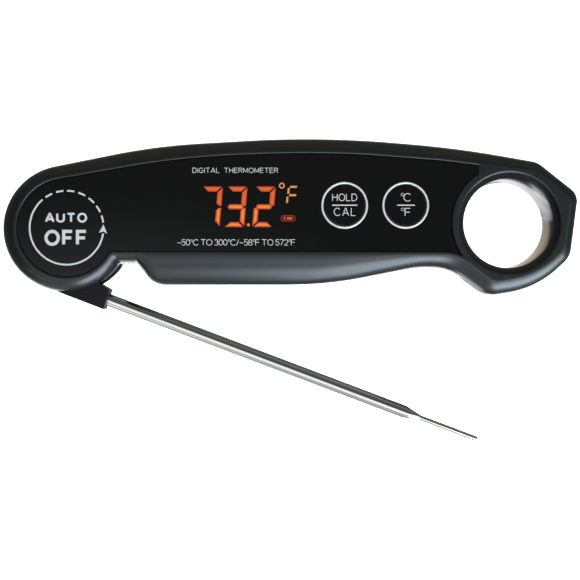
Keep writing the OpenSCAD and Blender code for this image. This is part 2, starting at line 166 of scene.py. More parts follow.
ENDS = [raw_outline(f, 0) for f in (0, 1)]
STRAIGHT_COUNTS = [
    math.ceil(max((end[(i + 1) % len(end)] - end[i]).length for end in ENDS) / STEP_LENGTH)
    for i in range(len(ENDS[0]))
]


def outline(f, inset=0.0):
    """Matched points of the outline; f is 0 at its widest and 1 at the crown."""
    raw = raw_outline(f, inset)
    points = []
    for i, n in enumerate(STRAIGHT_COUNTS):
        following = raw[(i + 1) % len(raw)]
        points += [raw[i].lerp(following, j / n) for j in range(n)]
    return points


def arc(cx, cy, rx, ry, start, end, n=14):
    """Points along part of an ellipse, in degrees."""
    angles = [math.radians(start + (end - start) * i / n) for i in range(n + 1)]
    return [(cx + rx * math.cos(a), cy + ry * math.sin(a)) for a in angles]


def quarter(n):
    """Angles of a quarter turn in n steps."""
    return [math.radians(90 * i / n) for i in range(n + 1)]


# Mesh building
def from_bmesh(name, bm):
    """New object in the scene, with its faces turned outwards."""
    bmesh.ops.recalc_face_normals(bm, faces=bm.faces)
    me = bpy.data.meshes.new(name)
    bm.to_mesh(me)
    bm.free()
    o = bpy.data.objects.new(name, me)
    bpy.context.scene.collection.objects.link(o)
    return o


def loft(name, rings):
    """Closed solid through rings of matched points (x, y, z)."""
    bm = bmesh.new()
    rows = [[bm.verts.new(p) for p in ring] for ring in rings]
    for low, high in zip(rows, rows[1:]):
        for i in range(len(low)):
            j = (i + 1) % len(low)
            bm.faces.new((low[i], low[j], high[j], high[i]))
    for row in (rows[0], rows[-1]):
        bm.faces.new(row)
    return from_bmesh(name, bm)


def level(points, z):
    """The points of a flat loop at height z."""
    return [(p[0], p[1], z) for p in points]


def circle(x, y, r, n=96):
    angles = [2 * math.pi * i / n for i in range(n)]
    return [(x + r * math.cos(a), y + r * math.sin(a)) for a in angles]


def lathe(name, profile, at=(0, 0), n=128):
    """Solid of revolution about +Z: profile is a list of (r, z), from axis to axis."""
    return loft(name, [level(circle(at[0], at[1], max(r, 1e-3), n), z) for r, z in profile])


def cylinder(name, r, low, high, at=(0, 0)):
    """Upright cylinder between two heights."""
    return lathe(name, [(r, low), (r, high)], at)


def ring_solid(name, profile, at=(0, 0), n=128):
    """Ring turned from a closed profile of (r, z)."""
    bm = bmesh.new()
    rows = [[bm.verts.new((x, y, z)) for x, y in circle(at[0], at[1], r, n)] for r, z in profile]
    for k in range(len(rows)):
        low, high = rows[k], rows[(k + 1) % len(rows)]
        for i in range(n):
            j = (i + 1) % n
            bm.faces.new((low[i], low[j], high[j], high[i]))
    return from_bmesh(name, bm)


def prism(name, loop, low, high):
    """Upright solid over a loop of points."""
    return loft(name, [level(loop, low), level(loop, high)])


def rod(name, p, q, r, n=48):
    """Cylinder from point p to point q."""
    o = lathe(name, [(r, 0), (r, (Vector(q) - Vector(p)).length)], n=n)
    turn = (Vector(q) - Vector(p)).to_track_quat("Z", "Y").to_matrix().to_4x4()
    o.data.transform(Matrix.Translation(p) @ turn)
    return o


def rectangle(x0, y0, x1, y1):
    return [(x0, y0), (x1, y0), (x1, y1), (x0, y1)]


def cuboid(name, low, high):
    """Box between its lowest and its highest corner."""
    return prism(name, rectangle(*low[:2], *high[:2]), low[2], high[2])


def boolean(target, operation, cutters):
    """Apply an exact boolean with each cutter in turn, and remove the cutters."""
    for cutter in cutters:
        modifier = target.modifiers.new("cut", "BOOLEAN")
        modifier.operation = operation
        modifier.solver = "EXACT"
        modifier.object = cutter
        bpy.context.view_layer.update()
        evaluated = target.evaluated_get(bpy.context.evaluated_depsgraph_get())
        me = bpy.data.meshes.new_from_object(evaluated)
        target.modifiers.clear()
        target.data = me
        bpy.data.objects.remove(cutter)
    return target


def cut(target, *cutters):
    return boolean(target, "DIFFERENCE", cutters)


def add(target, *others):
    return boolean(target, "UNION", others)


def finish_mesh(o, angle=32, weighted=True):
    """Smooth shading with the edges over this angle left sharp."""
    bm = bmesh.new()
    bm.from_mesh(o.data)
    bmesh.ops.remove_doubles(bm, verts=bm.verts, dist=2e-3)
    for face in bm.faces:
        face.smooth = True
    for edge in bm.edges:
        edge.smooth = len(edge.link_faces) == 2 and edge.calc_face_angle(0) < math.radians(angle)
    bm.to_mesh(o.data)
    bm.free()
    if weighted:
        modifier = o.modifiers.new("normals", "WEIGHTED_NORMAL")
        modifier.keep_sharp = True
    return o


def piece(o, body, material, replaces=()):
    o.data.transform(Matrix.Scale(MM, 4))
    o.data.materials.clear()
    o.data.materials.append(material)
    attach(o, body)
    if replaces:
        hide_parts(*replaces)
    return o


# Materials
def material(name, color, rough, metal=0.0, specular=0.5, grain=600, vary=0.12, bump=0.03,
             stretch=(1, 1, 1), emit=0.0, polished=None):
    """Principled finish with noise in its colour, its roughness and its surface;
    polished is the roughness of upright walls."""
    m = bpy.data.materials.new(name)
    m.use_nodes = True
    nodes, links = m.node_tree.nodes, m.node_tree.links
    bsdf = nodes["Principled BSDF"]
    place = nodes.new("ShaderNodeTexCoord")
    mapping = nodes.new("ShaderNodeMapping")
    mapping.inputs["Scale"].default_value = stretch
    noise = nodes.new("ShaderNodeTexNoise")
    noise.inputs["Scale"].default_value = grain
    noise.inputs["Detail"].default_value = 4
    tone = nodes.new("ShaderNodeMix")
    tone.data_type = "RGBA"
    tone.inputs["A"].default_value = [c * (1 - vary) for c in color] + [1]
    tone.inputs["B"].default_value = [min(1, c * (1 + vary)) for c in color] + [1]
    gloss = nodes.new("ShaderNodeMapRange")
    gloss.inputs["To Min"].default_value = rough * (1 - vary)
    gloss.inputs["To Max"].default_value = min(1, rough * (1 + vary))
    shine = gloss.outputs["Result"]
    if polished:
        facing = nodes.new("ShaderNodeSeparateXYZ")
        links.new(place.outputs["Normal"], facing.inputs[0])
        size = nodes.new("ShaderNodeMath")
        size.operation = "ABSOLUTE"
        links.new(facing.outputs["Z"], size.inputs[0])
        blend = nodes.new("ShaderNodeMapRange")
        blend.inputs["From Min"].default_value = 0.08
        blend.inputs["From Max"].default_value = 0.38
        blend.inputs["To Min"].default_value = polished
        links.new(size.outputs[0], blend.inputs["Value"])
        links.new(shine, blend.inputs["To Max"])
        shine = blend.outputs["Result"]
    relief = nodes.new("ShaderNodeBump")
    relief.inputs["Strength"].default_value = bump
    relief.inputs["Distance"].default_value = 0.0001
    links.new(place.outputs["Object"], mapping.inputs["Vector"])
    links.new(mapping.outputs["Vector"], noise.inputs["Vector"])
    links.new(noise.outputs["Fac"], tone.inputs["Factor"])
    links.new(noise.outputs["Fac"], gloss.inputs["Value"])
    links.new(noise.outputs["Fac"], relief.inputs["Height"])
    links.new(tone.outputs["Result"], bsdf.inputs["Base Color"])
    links.new(shine, bsdf.inputs["Roughness"])
    links.new(relief.outputs["Normal"], bsdf.inputs["Normal"])
    bsdf.inputs["Metallic"].default_value = metal
    bsdf.inputs["Specular IOR Level"].default_value = specular
    if emit:
        links.new(tone.outputs["Result"], bsdf.inputs["Emission Color"])
        bsdf.inputs["Emission Strength"].default_value = emit
    return m


FINISH = {
    "housing_plastic": material("housing_plastic", (0.0035, 0.0042, 0.0048), 0.35, grain=2500, bump=0.1,
                                polished=0.14),
    "hub": material("hub_plastic", (0.0035, 0.0041, 0.0045), 0.5, specular=0.22, grain=2500, bump=0.15),
    "panel_gloss": material("panel_gloss", (0.0027, 0.0028, 0.0029), 0.08, grain=60, bump=0.0),
    "silver_trim": material("silver_trim", (0.5, 0.53, 0.58), 0.3, metal=0.25, grain=900, vary=0.06),
    "probe_steel": material("probe_steel", (0.62, 0.61, 0.58), 0.14, metal=1, grain=500,
                            stretch=(0.05, 1, 1)),
    "screw_steel": material("screw_steel", (0.3, 0.3, 0.31), 0.35, metal=1, grain=900),
    "seal_rubber": material("seal_rubber", (0.3, 0.09, 0.045), 0.6, grain=700),
    "grey_silicone": material("grey_silicone", (0.42, 0.43, 0.44), 0.55, grain=700),
    "foam_tape": material("foam_tape", (0.2, 0.2, 0.21), 0.8, grain=1500, bump=0.3),
    "display_glass": material("display_glass", (0.03, 0.03, 0.035), 0.05, grain=100, bump=0.0),
    "light_guide": material("light_guide", (0.9, 0.45, 0.12), 0.12, grain=200, emit=0.4),
    "white_plastic": material("white_plastic", (0.8, 0.8, 0.78), 0.35, grain=800, vary=0.05),
    "lamp": material("lamp", (0.95, 0.85, 0.5), 0.3, grain=500, emit=0.8),
    "elastomer": material("elastomer", (0.7, 0.4, 0.45), 0.6, grain=2500, stretch=(1, 0.05, 0.05)),
    "board": material("board", (0.012, 0.11, 0.035), 0.25, grain=350, vary=0.25),
    "chip_black": material("chip_black", (0.02, 0.02, 0.022), 0.5, grain=1800),
    "capacitor": material("capacitor", (0.42, 0.28, 0.14), 0.5, grain=1500),
    "plunger": material("plunger", (0.75, 0.7, 0.6), 0.45, grain=900, vary=0.06),
    "bright_metal": material("bright_metal", (0.68, 0.68, 0.67), 0.22, metal=1, grain=700),
    "cell_seal": material("cell_seal", (0.2, 0.2, 0.22), 0.5, grain=900),
    "contact_gold": material("contact_gold", (0.83, 0.6, 0.26), 0.22, metal=1, grain=700),
    "magnet_nickel": material("magnet_nickel", (0.62, 0.61, 0.6), 0.18, metal=1, grain=400),
    "thermistor": material("thermistor", (0.015, 0.015, 0.017), 0.2, grain=2500),
    "lead_insulation": material("lead_insulation", (0.75, 0.75, 0.74), 0.5, grain=1200, vary=0.05),
}
PRINT = material("printed_ink", (0.36, 0.385, 0.43), 0.6, specular=0.2, grain=3000, vary=0.05)
FAINT = material("faint_ink", (0.34, 0.36, 0.385), 0.6, specular=0.2, grain=3000, vary=0.05)
DIGIT_EDGE = material("digit_edge", (0.28, 0.036, 0.011), 0.5, specular=0.1, grain=900, vary=0.1, emit=0.6)
DIGIT_CORE = material("digit_core", (0.37, 0.13, 0.023), 0.5, specular=0.1, grain=900, vary=0.1, emit=0.6)
DIGIT_RED = material("digit_red", (0.33, 0.061, 0.0145), 0.5, specular=0.1, grain=900, vary=0.1, emit=0.6)
SIGN_LIT = material("sign_lit", (0.32, 0.13, 0.045), 0.5, specular=0.1, grain=900, emit=0.6)
SIGN_RED = material("sign_red", (0.14, 0.016, 0.008), 0.5, specular=0.1, grain=900, emit=0.6)

for subpart in frame["record"]["subparts"]:
    mesh = frame["nodes"][subpart["node"]].data
    mesh.materials.clear()
    mesh.materials.append(FINISH[subpart["material_slot"]])

# Front shell: straight side, then a quarter ellipse up to the crown
SEAM_EDGE = 0.12
flank = [(SEAM, 0.0, SEAM_EDGE), (SEAM + SEAM_EDGE, 0.0, 0.0)]
flank += [(SHOULDER + (FRONT - SHOULDER) * math.sin(a), 1 - math.cos(a), 0.0) for a in quarter(28)]
front = loft("front_shell", [level(outline(f, inset), z) for z, f, inset in flank])

# The hole's wall is drafted both ways from a parting line, with a soft lip in front and a small one behind
PART_R, PART_Z = HOLE_R - 0.25, 4.5
WALL_TOP = (HOLE_R, 16.1)
LIP_R, LIP_ROUND, LIP_SLOPE = HOLE_R + 2.05, 0.8, 62
BACK_R, BACK_LIP = PART_R + 0.08, 0.5
back_wall = [(BACK_R + BACK_LIP, -1)]
back_wall += [(BACK_R + BACK_LIP * (1 - math.sin(a)), BACK_LIP * (1 - math.cos(a))) for a in quarter(6)]
back_wall += [(PART_R, PART_Z)]
lip_angles = [math.radians(a) for a in range(LIP_SLOPE, -1, -4)]
front_wall = [WALL_TOP]
front_wall += [(LIP_R - LIP_ROUND * math.sin(a), FRONT - LIP_ROUND * (1 - math.cos(a))) for a in lip_angles]
front_wall += [(LIP_R, FRONT + 2)]
cut(front, lathe("hole", back_wall + front_wall, HOLE))


def panel_solid(name, levels, rim_r, end_x):
    """The face panel's shape, the crown's outline moved in and ending at the ring: levels are (z, inset)."""
    first = levels[0][1]
    o = loft(name, [level(outline(1, inset), z) for z, inset in levels])
    boolean(o, "INTERSECT", [cuboid("clip", (-40, -40, levels[0][0] - 1), (end_x, 40, levels[-1][0] + 1))])
    rim = [(rim_r, levels[0][0] - 1)] + [(rim_r + inset - first, z) for z, inset in levels]
    return cut(o, lathe("rim", rim + [(rim[-1][0], levels[-1][0] + 1)], HOLE))


END_X = PANEL[1].x
GAP = 0.1
PANEL_RIM_R = HOLE_R + 3.6
PANEL_INSET = 0.5
recess = [(PANEL[0].z - 0.15, PANEL_INSET), (FRONT - 0.3, PANEL_INSET), (FRONT - 0.12, PANEL_INSET - 0.06),
          (FRONT, PANEL_INSET - 0.22), (FRONT + 1, PANEL_INSET - 0.22)]
cut(front, panel_solid("recess", recess, PANEL_RIM_R, END_X + GAP))

GROOVE_Y = -15.3
GROOVE_STEP, GROOVE_END = 113, 136.3
HUB_ROOM_R = 18.7
TAB_END, TAB_SIDE = 19.8, -10.3
OUT = 30


def groove(name, low, high, r):
    """Half-round trough of the folded probe, open to the grip side."""
    solid = rod(name, (low, GROOVE_Y, SEAM), (high, GROOVE_Y, SEAM), r)
    return add(solid, cuboid("groove_side", (low, GROOVE_Y - 12, SEAM - r), (high, GROOVE_Y, SEAM + r)))


def open_pockets(shell, low, high):
    """Room for the turning hub and its arm, and the groove of the folded probe."""
    cut(shell, cylinder("hub_room", HUB_ROOM_R, low, high))
    cut(shell, cuboid("arm_room", (-OUT, -OUT, low), (4, OUT, high)))
    cut(shell, cuboid("tab_room", (-1, -OUT, low), (TAB_END, TAB_SIDE, high)))
    cut(shell, groove("tube_groove", 19, GROOVE_STEP, 2.1),
        groove("tip_groove", GROOVE_STEP - 0.01, GROOVE_END, 1.3))


WALL = 2.2
CEILING = 15.5
CHAMBER_R = 20.6
HALL_START, HALL_END = 4.5, 110.8
HALL_SIDE = -11.2


def rooms(name, levels):
    """The electronics room and the hollow of the ring: levels are (z, f)."""
    low, high = levels[0][0] - 1, levels[-1][0] + 1
    hall, ring = (loft(name, [level(outline(f, WALL), z) for z, f in levels]) for _ in range(2))
    boolean(hall, "INTERSECT", [cuboid("clip", (HALL_START, HALL_SIDE, low), (HALL_END, 40, high))])
    boolean(ring, "INTERSECT", [cuboid("clip", (HALL_END + 2.5, -5, low), (170, 45, high))])
    cut(hall, cylinder("post_side", CHAMBER_R, low, high))
    cut(ring, cylinder("hole_side", HOLE_R + WALL, low, high, HOLE))
    return hall, ring


def studs(shell, places, r, low, high):
    """Add a post of radius r at each place, from low to high."""
    return add(shell, *(cylinder("stud", r, low, high, at) for at in places))


def drill(shell, places, r, low, high):
    """Take a hole of radius r out at each place, from low to high."""
    return cut(shell, *(cylinder("drill", r, low, high, at) for at in places))


SHELL_SCREWS = [(24.8, 18), (31, -9.2), (107.5, 16), (107, -5), (137.2, 14.6), (141.2, -8.2)]
BOARD_SCREWS = [(25.3, 12.8), (25.3, -3), (72.6, 13.2), (89.75, -3.2)]
PIVOT = [(0, 0)]
POST_FOOT = 3.6
POST_HOLE_R = 5.05
BOARD_TOP = span("circuit_board")[1].z
cut(front, *rooms("front_room", [(SEAM - 1, 0.056), (11.2, 0.06), (13.3, 0.18), (CEILING, 0.45)]))
open_pockets(front, SEAM - 1, HUB_HIGH + 0.3)
studs(front, SHELL_SCREWS, 2.4, SEAM, CEILING + 0.2)
studs(front, BOARD_SCREWS, 2, BOARD_TOP, CEILING + 0.2)
drill(front, SHELL_SCREWS, 1.1, SEAM - 1, 14)
drill(front, BOARD_SCREWS, 0.9, BOARD_TOP - 1, 13.2)
studs(front, PIVOT, 5, POST_FOOT, HUB_HIGH + 0.4)
drill(front, PIVOT, 1.5, 3, 12.4)
low, high = span("display_upper_glass")
cut(front, cuboid("window", (low.x + 1, low.y + 1, CEILING - 2), (high.x - 1, high.y - 1, FRONT + 1)))
drill(front, [HOLD, UNIT], BEZEL_R + 0.5, CEILING - 1, FRONT + 1)
piece(finish_mesh(front), "housing", FINISH["housing_plastic"], ["front_housing"])

# Rear shell: rounded back edge
back = [(BACK_ROUND * (1 - math.cos(a)), BACK_ROUND * (1 - math.sin(a))) for a in quarter(12)]
back += [(SEAM - SEAM_EDGE, 0.0), (SEAM, SEAM_EDGE)]
rear = loft("rear_shell", [level(outline(0, inset), z) for z, inset in back])
cut(rear, lathe("hole", back_wall + front_wall, HOLE))
BACK_WALL = 2.0
cut(rear, *rooms("rear_room", [(BACK_WALL, 0.12), (SEAM + 1, 0.12)]))
open_pockets(rear, HUB_LOW - 0.3, SEAM + 1)
studs(rear, SHELL_SCREWS, 2.6, BACK_WALL - 0.2, SEAM)
drill(rear, SHELL_SCREWS, 2.1, -1, 3.2)
drill(rear, SHELL_SCREWS, 1.25, -1, 12)
DOOR_R = 12.0
DOOR_FLOOR = 3
NOTCH_R = DOOR_R + 1.5


def sector(name, r, middle, half, low, high):
    """Slice of a disc around the battery door, in degrees."""
    angles = [math.radians(middle + a) for a in range(-half, half + 1, 3)]
    rim = [(DOOR.x + r * math.cos(a), DOOR.y + r * math.sin(a)) for a in angles]
    return prism(name, [(DOOR.x, DOOR.y)] + rim, low, high)


drill(rear, [DOOR], DOOR_R + 0.08, -1, DOOR_FLOOR)
cut(rear, *(sector("notch", NOTCH_R, a, 15, -1, DOOR_FLOOR) for a in (45, 165, 285)))
drill(rear, PIVOT, span("pivot_cap")[1].x + 0.08, -1, 2.8)
drill(rear, PIVOT, 1.6, -1, 8)
drill(rear, PIVOT, POST_HOLE_R, POST_FOOT, 6)
piece(finish_mesh(rear), "housing", FINISH["housing_plastic"], ["rear_housing"])

# Face panel with its round openings
edges = [(PANEL[0].z, PANEL_INSET + GAP), (PANEL_TOP - 0.1, PANEL_INSET + GAP), (PANEL_TOP, 0.7)]
panel = panel_solid("face_window", edges, PANEL_RIM_R + GAP, END_X)
for at in (HOLD, UNIT):
    cut(panel, cylinder("opening", BEZEL_R + GAP, PANEL[0].z - 1, PANEL_TOP + 1, at))
piece(finish_mesh(panel), "housing", FINISH["panel_gloss"], ["face_panel"])

# Buttons and their silver rings
STEM_R, CAP_ROUND, BEZEL_ROUND = 1.8, 0.25, 0.29
FLANGE_LOW, FLANGE_TOP = 16.2, 16.95
for name, at, node in (("hold", HOLD, "hold_button"), ("unit", UNIT, "unit_button")):
    low, high = span(node)
    flange, side = (high.x - low.x) / 2, BUTTON_R - 0.05
    profile = [(0, low.z), (STEM_R, low.z), (STEM_R, FLANGE_LOW), (flange, FLANGE_LOW), (flange, FLANGE_TOP),
               (side, FLANGE_TOP)]
    profile += arc(side - CAP_ROUND, high.z - CAP_ROUND, CAP_ROUND, CAP_ROUND, 0, 90, 8)
    profile += [(0, high.z)]
    cap = lathe(name + "_button_cap", profile, at)
    piece(finish_mesh(cap), node, FINISH["panel_gloss"], [node])
    low, high = span(node + "_bezel")
    middle = BEZEL_R - 0.1 - BEZEL_ROUND
    profile = [(middle - BEZEL_ROUND, low.z), (middle + BEZEL_ROUND, low.z)]
    profile += arc(middle, high.z - BEZEL_ROUND, BEZEL_ROUND, BEZEL_ROUND, 0, 180, 16)
    trim = ring_solid(name + "_ring", profile, at)
    piece(finish_mesh(trim), "housing", FINISH["silver_trim"], [node + "_bezel"])

# Hub with its square arm, drawn folded and then opened
HUB_EDGE = 0.4
ARM_STEP = 0.3
ARM_X = 18.5
ARM = [(0, -17.8), (6, -18.15), (ARM_X, -18.2), (ARM_X - 0.4, -12.2), (13.6, -11.5), (0, -8)]
hub = lathe("hub_body", [(HUB_R - HUB_EDGE, HUB_LOW), (HUB_R, HUB_LOW + HUB_EDGE),
                         (HUB_R, HUB_HIGH - HUB_EDGE), (HUB_R - HUB_EDGE, HUB_HIGH)])
add(hub, prism("arm", ARM, HUB_LOW + ARM_STEP, HUB_HIGH - ARM_STEP))
cut(hub, cylinder("post_hole", POST_HOLE_R, 0, 20))
cut(hub, rod("tube_seat", (12, GROOVE_Y, PROBE_Z), (20, GROOVE_Y, PROBE_Z), PROBE_R + 0.01))
hub.data.transform(Matrix.Rotation(FOLD, 4, "Z"))
hub = piece(finish_mesh(hub), "probe", FINISH["hub"], ["probe_hub"])
hub.data.materials.append(FINISH["housing_plastic"])
# The hub's round wall shines like the shells
for face in hub.data.polygons:
    upright = abs(face.normal.z) < 0.3
    if upright and abs(face.center.xy.length / MM - HUB_R) < 0.3:
        face.material_index = 1

# Steel tube, stepped down to a thin tip
TUBE_START, TAPER_START, TAPER_END, TIP_END = 12.5, 111.7, 116.3, 134.9
TIP_R = 0.75
profile = [(0, TUBE_START), (PROBE_R, TUBE_START), (PROBE_R, TAPER_START), (TIP_R + 0.05, TAPER_END),
           (TIP_R, TAPER_END + 0.3), (TIP_R, TIP_END - 1.1), (TIP_R * 0.75, TIP_END - 0.5), (0, TIP_END)]
tube = lathe("steel_tube", profile, n=64)
tube.data.transform(Matrix.Rotation(FOLD, 4, "Z") @ Matrix.Translation((0, GROOVE_Y, PROBE_Z))
                    @ Matrix.Rotation(math.pi / 2, 4, "Y"))
piece(finish_mesh(tube), "probe", FINISH["probe_steel"], ["probe_tube"])


# Printed face
INK = 0.02


def flat_piece(name, loops, z, body, finish):
    """Thin shapes lying on the face: one prism per loop of points."""
    bm = bmesh.new()
    for loop in loops:
        triangles = tessellate_polygon([[Vector((x, y, 0)) for x, y in loop]])
        low = [bm.verts.new((x, y, z)) for x, y in loop]
        high = [bm.verts.new((x, y, z + INK)) for x, y in loop]
        for t in triangles:
            bm.faces.new([high[k] for k in t])
            bm.faces.new([low[k] for k in reversed(t)])
        for i in range(len(loop)):
            j = (i + 1) % len(loop)
            bm.faces.new((low[i], low[j], high[j], high[i]))
    return piece(from_bmesh(name, bm), body, finish)


def flat_ring(name, loops, z, body, finish):
    """One thin outline between an outer and an inner loop of as many points."""
    outer, inner = loops[0], loops[1][::-1]
    bm = bmesh.new()
    rows = [[bm.verts.new((x, y, h)) for x, y in loop]
            for loop, h in ((outer, z), (inner, z), (inner, z + INK), (outer, z + INK))]
    for k in range(4):
        a, b = rows[k], rows[(k + 1) % 4]
        for i in range(len(a)):
            j = (i + 1) % len(a)
            bm.faces.new((a[i], a[j], b[j], b[i]))
    return piece(from_bmesh(name, bm), body, finish)


# Plain capitals: width and centre lines, in units of the letter's height
GLYPHS = {
    " ": (0.12, []),
    "A": (0.86, [[(0, 0), (0.4, 1), (0.46, 1), (0.86, 0)], [(0.15, 0.32), (0.71, 0.32)]]),
    "C": (0.84, [arc(0.45, 0.5, 0.45, 0.5, 42, 318, 22)]),
    "D": (0.78, [[(0, 0), (0, 1), (0.32, 1)] + arc(0.32, 0.5, 0.46, 0.5, 90, -90) + [(0, 0)]]),
    "E": (0.66, [[(0.66, 1), (0, 1), (0, 0), (0.66, 0)], [(0, 0.52), (0.6, 0.52)]]),
    "F": (0.62, [[(0.62, 1), (0, 1), (0, 0)], [(0, 0.5), (0.55, 0.5)]]),
    "G": (0.88, [arc(0.46, 0.5, 0.46, 0.5, 42, 330, 22) + [(0.88, 0.45), (0.5, 0.45)]]),
    "H": (0.76, [[(0, 0), (0, 1)], [(0.76, 0), (0.76, 1)], [(0, 0.52), (0.76, 0.52)]]),
    "I": (0, [[(0, 0), (0, 1)]]),
    "L": (0.6, [[(0, 1), (0, 0), (0.6, 0)]]),
    "M": (0.92, [[(0, 0), (0, 1)], [(0, 1), (0.46, 0.15), (0.92, 1)], [(0.92, 1), (0.92, 0)]]),
    "O": (0.9, [arc(0.45, 0.5, 0.45, 0.5, 90, 450, 28)]),
    "R": (0.74, [[(0, 0), (0, 1), (0.45, 1)] + arc(0.45, 0.76, 0.26, 0.24, 90, -90, 10) + [(0, 0.52)],
                 [(0.42, 0.52), (0.74, 0)]]),
    "T": (0.8, [[(0, 1), (0.8, 1)], [(0.4, 1), (0.4, 0)]]),
    "U": (0.76, [[(0, 1), (0, 0.36)] + arc(0.38, 0.36, 0.38, 0.36, 180, 360) + [(0.76, 1)]]),
    "0": (0.6, [arc(0.3, 0.5, 0.3, 0.5, 90, 450, 24)]),
    "2": (0.58, [arc(0.29, 0.7, 0.29, 0.3, 165, -35, 14) + [(0, 0), (0.58, 0)]]),
    "3": (0.58, [arc(0.28, 0.76, 0.26, 0.24, 150, -90, 14) + arc(0.28, 0.27, 0.3, 0.27, 90, -150, 14)]),
    "5": (0.58, [[(0.54, 1), (0.1, 1), (0.04, 0.5)] + arc(0.27, 0.32, 0.31, 0.32, 130, -145, 16)]),
    "7": (0.58, [[(0, 1), (0.58, 1), (0.2, 0)]]),
    "8": (0.6, [arc(0.3, 0.76, 0.26, 0.24, 90, 450, 18), arc(0.3, 0.27, 0.3, 0.27, 90, 450, 18)]),
    "*": (0.36, [arc(0.18, 0.86, 0.18, 0.17, 90, 450, 14)]),
    "-": (0.6, [[(0, 0.42), (0.6, 0.42)]]),
    "/": (0.36, [[(0, -0.02), (0.36, 1.02)]]),
}


def label(name, text, low, high, z, body, finish, stroke, wide=1.0):
    """Lettering of an even stroke that fills the box from low to high; a star stands for the degree sign.
    Letters are wide times their usual width, and the gaps between them take up the rest."""
    tall = high[1] - low[1] - stroke
    widths = [GLYPHS[letter][0] * tall * wide for letter in text]
    tight = [0.45 if letter == "*" else 1 for letter in text[:-1]]
    gap = (high[0] - low[0] - stroke - sum(widths)) / sum(tight)
    x = low[0] + stroke / 2
    bm = bmesh.new()
    layer = 0
    for letter, width, share in zip(text, widths, tight + [0]):
        line_w = stroke * (0.62 if letter == "*" else 1)
        for line in GLYPHS[letter][1]:
            layer += 1
            # Strokes that cross end at different heights
            top = INK + 0.002 * (layer % 4)
            section = ((1, 0), (-1, 0), (-1, top), (1, top))
            points = [Vector((x + px * tall * wide, low[1] + stroke / 2 + py * tall)) for px, py in line]
            closed = (points[0] - points[-1]).length < 1e-4
            if closed:
                points.pop()
            rows = []
            for i, p in enumerate(points):
                before = points[i - 1] if closed or i else None
                after = points[(i + 1) % len(points)] if closed or i < len(points) - 1 else None
                steps = ((p - before) if before else None, (after - p) if after else None)
                ways = [step.normalized() for step in steps if step]
                along = sum(ways, Vector((0, 0))).normalized()
                side = Vector((-along.y, along.x)) * line_w / 2 / max(0.6, along.dot(ways[0]))
                rows.append([bm.verts.new((*(p + side * k), z + h)) for k, h in section])
            for a, b in list(zip(rows, rows[1:])) + ([(rows[-1], rows[0])] if closed else []):
                for k in range(4):
                    bm.faces.new((a[k], a[(k + 1) % 4], b[(k + 1) % 4], b[k]))
            if not closed:
                bm.faces.new(rows[0])
                bm.faces.new(rows[-1][::-1])
        x += width + gap * share
    return piece(from_bmesh(name, bm), body, finish)


def band(at, r, width, start, end, step=4):
    """Loop of an arc-shaped stroke, in degrees."""
    n = max(2, math.ceil(abs(end - start) / step))
    angles = [math.radians(start + (end - start) * i / n) for i in range(n + 1)]
    outer = [(at[0] + (r + width / 2) * math.cos(a), at[1] + (r + width / 2) * math.sin(a)) for a in angles]
    inner = [(at[0] + (r - width / 2) * math.cos(a), at[1] + (r - width / 2) * math.sin(a)) for a in angles]
    return outer + inner[::-1]


# The turn arrow: one long arc, seven dashes and a head
PRINT_GAP = 0.005
FACE = PANEL_TOP + PRINT_GAP
dial, dial_r, line, half_dash = (1.3, -0.1), 10.6, 0.5, 5.7
loops = [band(dial, dial_r, line, 130.5, 351)]
loops += [band(dial, dial_r, line, a - half_dash, a + half_dash)
          for a in (118.9, 100.7, 83.7, 65.7, 47.8, 30.6, 13.6)]
flat_piece("turn_arrow_line", loops, FACE, "housing", PRINT)
head = []
for a, offset in ((5.2, 0), (-8.6, 1.18), (-5.6, 0), (-8.6, -1.18)):
    r = dial_r + offset
    head.append((dial[0] + r * math.cos(math.radians(a)), dial[1] + r * math.sin(math.radians(a))))
flat_piece("turn_arrow_head", [head], FACE, "housing", PRINT)
label("auto_text", "AUTO", (-4.9, 1.35), (7.2, 4.2), FACE, "housing", PRINT, 0.6, 1.12)
label("off_text", "OFF", (-5.05, -5.3), (7.3, -0.7), FACE, "housing", PRINT, 0.9, 1.06)
label("type_text", "DIGITAL  THERMOMETER", (37.4, 15.6), (61.9, 17.1), FACE, "housing", FAINT, 0.16)
label("range_text", "-50*C TO 300*C/-58*F TO 572*F", (32.9, -5.2), (66.9, -3.4), FACE, "housing", FAINT,
      0.185, 1.1)
cap_z = BUTTON_TOP + PRINT_GAP
x, y = HOLD.x, HOLD.y
label("hold_text", "HOLD", (x - 3.6, y + 1.2), (x + 3.6, y + 3.35), cap_z, "hold_button", PRINT, 0.21, 0.95)
label("cal_text", "CAL", (x - 3.1, y - 3.05), (x + 3.2, y - 0.7), cap_z, "hold_button", PRINT, 0.21, 0.95)
flat_piece("hold_bar", [rectangle(x - 3.6, y - 0.12, x + 3.6, y + 0.2)], cap_z, "hold_button", PRINT)
x = UNIT.x
label("celsius_text", "*C", (x - 1.45, y + 1.1), (x + 1.6, y + 3.5), cap_z, "unit_button", PRINT, 0.21, 1.1)
label("fahrenheit_text", "*F", (x - 1.4, y - 3.15), (x + 1.4, y - 0.75), cap_z, "unit_button", PRINT,
      0.21, 1.1)
flat_piece("unit_bar", [rectangle(x - 2.45, y - 0.12, x + 2.6, y + 0.2)], cap_z, "unit_button", PRINT)

# Lit display: slanted digits of mitred bars
CELL_W, CELL_H, BAR, SLANT, SPLIT = 5.8, 11.6, 1.42, 0.083, 0.3
SEGMENTS = {"7": "abc", "3": "abcdg", "2": "abdeg"}


